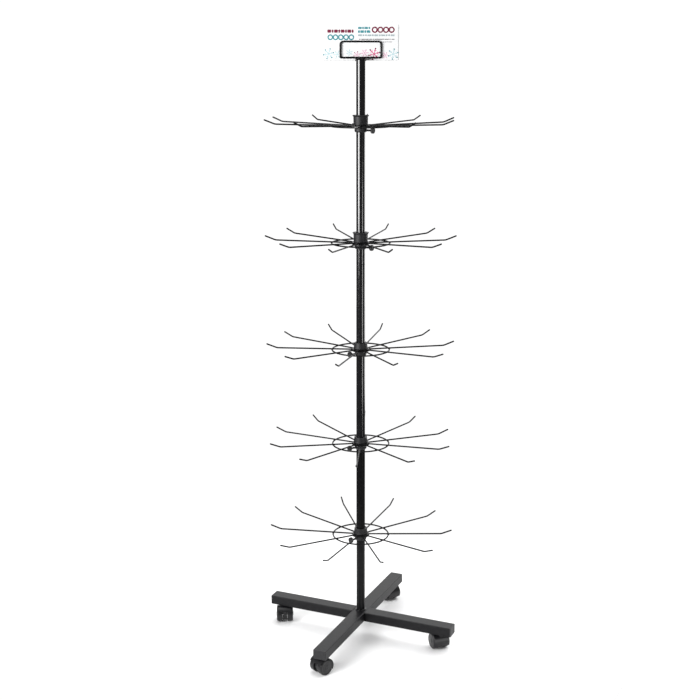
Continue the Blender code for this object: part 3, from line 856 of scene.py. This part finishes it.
def caster_stem(top):
    flange_foot = HOOD_TOP + GAP
    flange_top = leg_measures()[0] - GAP
    outline = [(0, STEM_PIN_FOOT), (STEM_PIN_RADIUS, STEM_PIN_FOOT), (STEM_PIN_RADIUS, flange_foot)]
    outline += [(STEM_FLANGE_RADIUS, flange_foot), (STEM_FLANGE_RADIUS, flange_top)]
    outline += [(STEM_SHANK_RADIUS, flange_top), (STEM_SHANK_RADIUS, top), (0, top)]
    return turned(softened(outline, FINE_EDGE), STEM_SIDES)


def caster_axle():
    outline = [(0, -AXLE_HALF), (AXLE_RADIUS, -AXLE_HALF), (AXLE_RADIUS, AXLE_HALF), (0, AXLE_HALF)]
    return to_y(turned(softened(outline, FINE_EDGE), BORE_SIDES))


def caster_wheel(radius):
    """The wheel at +Y with a rounded tread and a dished outer face round its hub."""
    outline = [
        (0, WHEEL_BORE_END),
        (WHEEL_BORE, WHEEL_BORE_END),
        (WHEEL_BORE, WHEEL_INSIDE),
        (radius - 0.0012, WHEEL_INSIDE),
        (radius, WHEEL_INSIDE + 0.0015),
        (radius, WHEEL_OUTSIDE - 0.0048),
        (radius - 0.0012, WHEEL_OUTSIDE - 0.0022),
        (radius - 0.0040, WHEEL_OUTSIDE - 0.0010),
        (radius - 0.0052, WHEEL_OUTSIDE - 0.0010),
        (radius - 0.0060, WHEEL_OUTSIDE - 0.0018),
        (0.0075, WHEEL_OUTSIDE - 0.0010),
        (0.0060, WHEEL_OUTSIDE - 0.0002),
        (0, WHEEL_OUTSIDE),
    ]
    return to_y(turned(softened(outline, WHEEL_EDGE), TREAD_SIDES))


def make_casters(finishes):
    joint = JOINTS["caster_right_wheel_a_roll"]["pos_m"]
    stem_at = JOINTS["caster_right_swivel"]["pos_m"]
    radius = joint[2]
    trail = hypot(joint[0] - stem_at[0], joint[1] - stem_at[1])
    hood = finished(caster_hood(trail, radius), "hood")
    stem = finished(caster_stem(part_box("caster_right_stem")[1].z), "stem")
    axle = finished(caster_axle(), "axle")
    wheel = finished(caster_wheel(radius), "wheel")
    for name in ("right", "back", "left", "front"):
        x, y, _ = JOINTS[f"caster_{name}_swivel"]["pos_m"]
        centre = JOINTS[f"caster_{name}_wheel_a_roll"]["pos_m"]
        turn = atan2(y - centre[1], x - centre[0])
        node = f"caster_{name}"
        stand_in(f"{name}_caster_stem", stem, finishes["zinc"], f"{node}_stem", (x, y, 0), turn)
        stand_in(f"{name}_caster_hood", hood, finishes["nylon"], f"{node}_hood", (x, y, 0), turn)
        stand_in(f"{name}_caster_axle", axle, finishes["zinc"], f"{node}_axle", centre, turn)
        stand_in(f"{name}_caster_wheel_a", wheel, finishes["nylon"], f"{node}_wheel_a", centre, turn)
        stand_in(f"{name}_caster_wheel_b", wheel, finishes["nylon"], f"{node}_wheel_b", centre, turn + pi)


# Sign, made facing -Y and turned as a whole


def sign_turn():
    """The turn of the sign, read from the middles of the card's two ends."""
    points = [v.co for v in frame["nodes"]["sign_card"].data.vertices]
    right = [p for p in points if p.x > 0]
    left = [p for p in points if p.x < 0]
    step = sum(right, Vector()) / len(right) - sum(left, Vector()) / len(left)
    return atan2(step.y, step.x)


def straight_box(node, turn):
    """The lowest and highest corners of a node after turning it back by turn."""
    back = Matrix.Rotation(-turn, 3, "Z")
    points = [back @ v.co for v in frame["nodes"][node].data.vertices]
    low = Vector([min(p[i] for p in points) for i in range(3)])
    high = Vector([max(p[i] for p in points) for i in range(3)])
    return low, high


def sign_plug(foot, pole_top, top):
    """The plug that goes down inside the pole, with a flange over its end."""
    outline = [(0, foot), (NECK_RADIUS, foot), (NECK_RADIUS, pole_top), (POLE_RADIUS, pole_top)]
    outline += [(PLUG_FLANGE_RADIUS, top - PLUG_CHAMFER), (PLUG_FLANGE_RADIUS, top), (0, top)]
    return turned(softened(outline, PLUG_EDGE))


def sign_wire(foot, top):
    """The wire frame, with tight corners at its foot and wide ones at its top."""
    half = FRAME_WIDTH / 2
    lower = [Vector((x, FRAME_BACK, foot)) for x in (-half, half)]
    upper = [Vector((x, FRAME_BACK, top)) for x in (half, -half)]
    left = upper[1].lerp(lower[0], 0.5)
    right = upper[0].lerp(lower[1], 0.5)
    lower_path = softened([left, *lower, right], FRAME_FOOT_CORNER, 5)
    upper_path = softened([lower_path[-1], *upper, lower_path[0]], FRAME_CORNER, 10)
    return tube(lower_path + upper_path[1:-1], FRAME_WIRE, FRAME_SIDES, closed=True)


def sign_clip(card_low, card_high, top):
    """Three strips that hold the card from the front, from below and from behind."""
    front = card_low.y - GAP - CLIP_WALL
    back = card_high.y + GAP
    foot = card_low.z - GAP - CLIP_WALL
    half = CLIP_HALF
    return [
        box((-half, front, foot), (half, card_low.y - GAP, top - CLIP_SINK)),
        box((-half, front, foot), (half, back + CLIP_WALL, foot + CLIP_WALL)),
        box((-half, back, foot), (half, back + CLIP_WALL, CLIP_TOP)),
    ]


def sign_holder(low, high, card_low, card_high):
    pole_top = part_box("pole_upper_tube")[1].z + GAP
    top = pole_top + PLUG_FLANGE
    wire = sign_wire(top - FRAME_WIRE + FRAME_LIFT, high.z - FRAME_WIRE)
    plug = sign_plug(low.z, pole_top, top)
    return combined(plug, [wire, *sign_clip(card_low, card_high, top)], "UNION")


def card_sheet(low, high):
    """A thin card with small round corners."""
    corners = [(low.x, low.z), (high.x, low.z), (high.x, high.z), (low.x, high.z)]
    outline = softened(corners, CARD_CORNER, 5, closed=True)
    return loft([[(x, y, z) for x, z in outline] for y in (low.y, high.y)])


def slab(points, y, depth):
    """A thin flat shape on the face at y, from its (x, z) outline."""
    return loft([[(x, at, z) for x, z in points] for at in (y - depth, y + INK / 3)])


def bar(left, right, foot, top, y, depth):
    size = (top - foot) * 0.22
    outline = softened([(left, foot), (right, foot), (right, top), (left, top)], size, 3, closed=True)
    return slab(outline, y, depth)


def spot(card, u, v):
    """The (x, z) point at a share of the card's width and height."""
    low, high = card
    return Vector((low.x + u * (high.x - low.x), low.z + v * (high.z - low.z)))


def dashes(card, left, right, foot, top, shares):
    """A line of print as short bars; shares are their widths, with gaps between them."""
    gap = 0.4 * (right - left) / (sum(shares) + len(shares))
    scale = (right - left - gap * (len(shares) - 1)) / sum(shares)
    start = left
    bars = []
    for share in shares:
        low = spot(card, start, foot)
        high = spot(card, start + share * scale, top)
        bars.append(bar(low.x, high.x, low.y, high.y, card[0].y, INK))
        start += share * scale + gap
    return bars


def rings(card, left, right, foot, top, count):
    """A line of print as round rings."""
    low = spot(card, left, foot)
    high = spot(card, right, top)
    outer = (high.y - low.y) / 2
    step = (high.x - low.x - 2 * outer) / (count - 1)
    solids = []
    for i in range(count):
        centre = (low.x + outer + i * step, low.y + outer)
        loops = []
        for radius, depth in ((outer, INK), (outer * 0.55, INK), (outer * 0.55, -INK / 3), (outer, -INK / 3)):
            angles = [2 * pi * k / 32 for k in range(32)]
            y = card[0].y - depth
            loops.append([(centre[0] + radius * cos(a), y, centre[1] + radius * sin(a)) for a in angles])
        solids.append(loft(loops, closed=True))
    return solids


def stroke(start, end, width, y, depth):
    """A straight stroke with square ends between two (x, z) points."""
    along = (Vector(end) - Vector(start)).normalized()
    side = Vector((-along.y, along.x)) * (width / 2)
    points = [Vector(start) - side, Vector(end) - side, Vector(end) + side, Vector(start) + side]
    return slab(points, y, depth)


def disc(centre, radius, y, depth):
    angles = [2 * pi * i / 16 for i in range(16)]
    return slab([(centre.x + radius * cos(a), centre.y + radius * sin(a)) for a in angles], y, depth)


def snowflake(card, u, v, size, turn=0.0):
    """(strokes, tips) of a six-armed flake at a share of the card's width and height."""
    y = card[0].y
    centre = spot(card, u, v)
    strokes = []
    tips = []
    for i in range(6):
        angle = turn + pi / 3 * i
        along = Vector((cos(angle), sin(angle)))
        depth = INK * (1 + 0.04 * i)
        tip = centre + along * size
        strokes.append(stroke(centre, tip, size * 0.13, y, depth))
        tips.append(disc(tip, size * 0.14, y, depth * 1.1))
        for side in (-1, 1):
            fork = angle + side * pi / 4
            twig = Vector((cos(fork), sin(fork))) * (size * 0.34)
            root = centre + along * (size * 0.5)
            strokes.append(stroke(root, root + twig, size * 0.10, y, depth * 0.9))
    return strokes, tips


def print_solids(card):
    """The card's print by colour: bars and rings for its lines, a band of snowflakes, and grey bars of painted
    shade along the card's right and bottom edges.
    """
    low, high = card
    red = dashes(card, 0.066, 0.407, 0.705, 0.785, (2, 1, 2, 1, 2, 1, 2, 1))
    red += rings(card, 0.643, 0.942, 0.700, 0.860, 4)
    teal = rings(card, 0.066, 0.415, 0.515, 0.665, 5)
    teal += dashes(card, 0.465, 0.625, 0.800, 0.852, (2, 1, 2, 1))
    teal += dashes(card, 0.465, 0.625, 0.702, 0.765, (1, 2, 1, 2))
    grey = dashes(card, 0.465, 0.940, 0.618, 0.662, (2, 1, 1, 2, 1, 2, 1, 2, 1, 1, 2))
    dark = dashes(card, 0.480, 0.940, 0.528, 0.550, (1, 5, 2, 1, 6, 3, 1, 2))
    dark += dashes(card, 0.720, 0.910, 0.464, 0.478, (3, 1, 5))
    # The edge bars are painted shade: a grey strip down the card's right side and a thin grey line along its foot
    # stand in for the shade at the card's edges.
    edge = [bar(high.x - 0.0028, high.x, low.z, high.z - 0.008, low.y, INK)]
    edge.append(bar(low.x + 0.004, high.x - 0.0030, low.z, low.z + 0.0012, low.y, INK))
    found = {"edge": edge, "red": red, "teal": teal, "grey": grey, "dark": dark}
    found.update({"pale": [], "pink": [], "rose": []})
    flakes = (
        ("pale", "teal", 0.080, 0.170, 0.0135, 0.2),
        ("pale", "teal", 0.925, 0.160, 0.0135, 0.35),
        ("pale", "pale", 0.195, 0.150, 0.0105, 0.1),
        ("pale", "pale", 0.350, 0.200, 0.0085, 0.4),
        ("pink", "red", 0.450, 0.140, 0.0090, 0.3),
        ("pink", "pink", 0.550, 0.190, 0.0095, 0.1),
        ("rose", "red", 0.675, 0.165, 0.0150, 0.26),
        ("pink", "pink", 0.820, 0.130, 0.0080, 0.0),
    )
    for arms, ends, u, v, size, turn in flakes:
        strokes, tips = snowflake(card, u, v, size, turn)
        found[arms] += strokes
        found[ends] += tips
    return found


def make_sign(finishes):
    turn = sign_turn()
    card = straight_box("sign_card", turn)
    holder = sign_holder(*straight_box("sign_holder", turn), *card)
    stand_in("sign_frame", finished(holder, "sign_frame"), finishes["wire"], "sign_holder", turn=turn)
    sheet = finished(card_sheet(*card), "card")
    stand_in("card", sheet, finishes["card"], "sign_card", turn=turn)
    # The edge colour here is painted shade along the card's right and bottom edges; the other colours are print.
    for colour, solids in print_solids(card).items():
        mesh = finished(joined(solids), f"print_{colour}")
        mesh.transform(Matrix.Rotation(turn, 4, "Z"))
        mesh.materials.append(finishes[colour])
        made = bpy.data.objects.new(f"print_{colour}", mesh)
        bpy.context.scene.collection.objects.link(made)
        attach(made, BODY_OF["sign_card"])


# Stage


def make_floor():
    outline = [(0, -FLOOR_THICKNESS), (FLOOR_RADIUS, -FLOOR_THICKNESS), (FLOOR_RADIUS, 0), (0, 0)]
    made = bpy.data.objects.new("floor", finished(turned(outline, 96), "floor"))
    finish = new_finish("pale_floor", "floor")
    speckle = noise(finish, 30)
    colour_of(finish, speckle, (0.88, 0.88, 0.885), (0.90, 0.90, 0.90))
    roughness_of(finish, speckle, 0.85, 0.95)
    shader(finish).inputs["Specular IOR Level"].default_value = 0.1
    made.data.materials.append(finish)
    bpy.context.scene.collection.objects.link(made)


def make_world():
    """White behind the rack, and a dim grey for everything that lights it or reflects in it."""
    world = bpy.data.worlds.new("studio")
    bpy.context.scene.world = world
    world.use_nodes = True
    nodes = world.node_tree.nodes
    links = world.node_tree.links
    dim = nodes["Background"]
    dim.inputs["Color"].default_value = (1, 1, 1, 1)
    dim.inputs["Strength"].default_value = SURROUND_STRENGTH
    white = nodes.new("ShaderNodeBackground")
    white.inputs["Color"].default_value = (1, 1, 1, 1)
    white.inputs["Strength"].default_value = BACKDROP_STRENGTH
    seen = nodes.new("ShaderNodeLightPath")
    mix = nodes.new("ShaderNodeMixShader")
    links.new(seen.outputs["Is Camera Ray"], mix.inputs["Fac"])
    links.new(dim.outputs["Background"], mix.inputs[1])
    links.new(white.outputs["Background"], mix.inputs[2])
    links.new(mix.outputs["Shader"], nodes["World Output"].inputs["Surface"])


def panel(name, turn, foot, top, width, brightness):
    """An upright soft light; turn is to the right of the camera's direction, seen from the pole."""
    light = bpy.data.lights.new(name, "AREA")
    light.shape = "RECTANGLE"
    light.size = width
    light.size_y = top - foot
    light.energy = brightness * pi * width * (top - foot)
    made = bpy.data.objects.new(name, light)
    angle = CAMERA_AZIMUTH - pi / 2 + radians(turn)
    made.location = (PANEL_DISTANCE * cos(angle), PANEL_DISTANCE * sin(angle), (foot + top) / 2)
    made.rotation_euler = (pi / 2, 0, angle + pi / 2)
    made.visible_camera = False
    bpy.context.scene.collection.objects.link(made)


def make_lights():
    sun = bpy.data.lights.new("overhead", "SUN")
    sun.energy = SUN_STRENGTH
    sun.angle = SUN_SPREAD
    made = bpy.data.objects.new("overhead", sun)
    made.rotation_euler = (radians(-22), radians(8), 0)
    bpy.context.scene.collection.objects.link(made)
    panel("left_panel", -50, 0.85, 2.6, 1.5, 13)
    panel("right_panel", 46, 0.0, 1.10, 0.4, 8)
    panel("back_right_panel", 128, 0.05, 1.4, 2.0, 2.6)
    panel("back_panel", 180, 0.5, 2.2, 2.6, 1.6)


def make_camera():
    camera = bpy.data.cameras.new("camera")
    camera.lens = CAMERA_LENS
    camera.sensor_width = 36
    camera.shift_x = CAMERA_SHIFT
    made = bpy.data.objects.new("camera", camera)
    side = CAMERA_DISTANCE * sin(CAMERA_AZIMUTH)
    made.location = (side, -CAMERA_DISTANCE * cos(CAMERA_AZIMUTH), CAMERA_HEIGHT)
    made.rotation_euler = (pi / 2 - CAMERA_PITCH, 0, CAMERA_AZIMUTH)
    bpy.context.scene.collection.objects.link(made)
    bpy.context.scene.camera = made


def make_finishes():
    return {
        "gloss": gloss_black(),
        "wire": wire_black(),
        "satin": satin_black(),
        "plastic": textured_plastic(),
        "rim": satin_rim(),
        "nylon": satin_nylon(),
        "zinc": bright_zinc(),
        "card": white_card(),
        "red": ink("dark_red_ink", (0.20, 0.012, 0.045)),
        "teal": ink("teal_ink", (0.06, 0.30, 0.34)),
        "grey": ink("grey_ink", (0.42, 0.50, 0.52)),
        # Grey of the painted shade along the card's right and bottom edges.
        "edge": ink("painted_edge_shade_ink", (0.56, 0.57, 0.58)),
        "dark": ink("dark_grey_ink", (0.16, 0.14, 0.15)),
        "pale": ink("pale_blue_ink", (0.52, 0.72, 0.76)),
        "pink": ink("pale_pink_ink", (0.82, 0.42, 0.58)),
        "rose": ink("rose_ink", (0.72, 0.10, 0.25)),
    }


def write_sizes():
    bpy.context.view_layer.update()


def main():
    bpy.context.scene.view_settings.view_transform = "Standard"
    finishes = make_finishes()
    make_base(finishes)
    make_tiers(finishes)
    make_casters(finishes)
    make_sign(finishes)
    make_floor()
    make_world()
    make_lights()
    make_camera()
    write_sizes()


main()
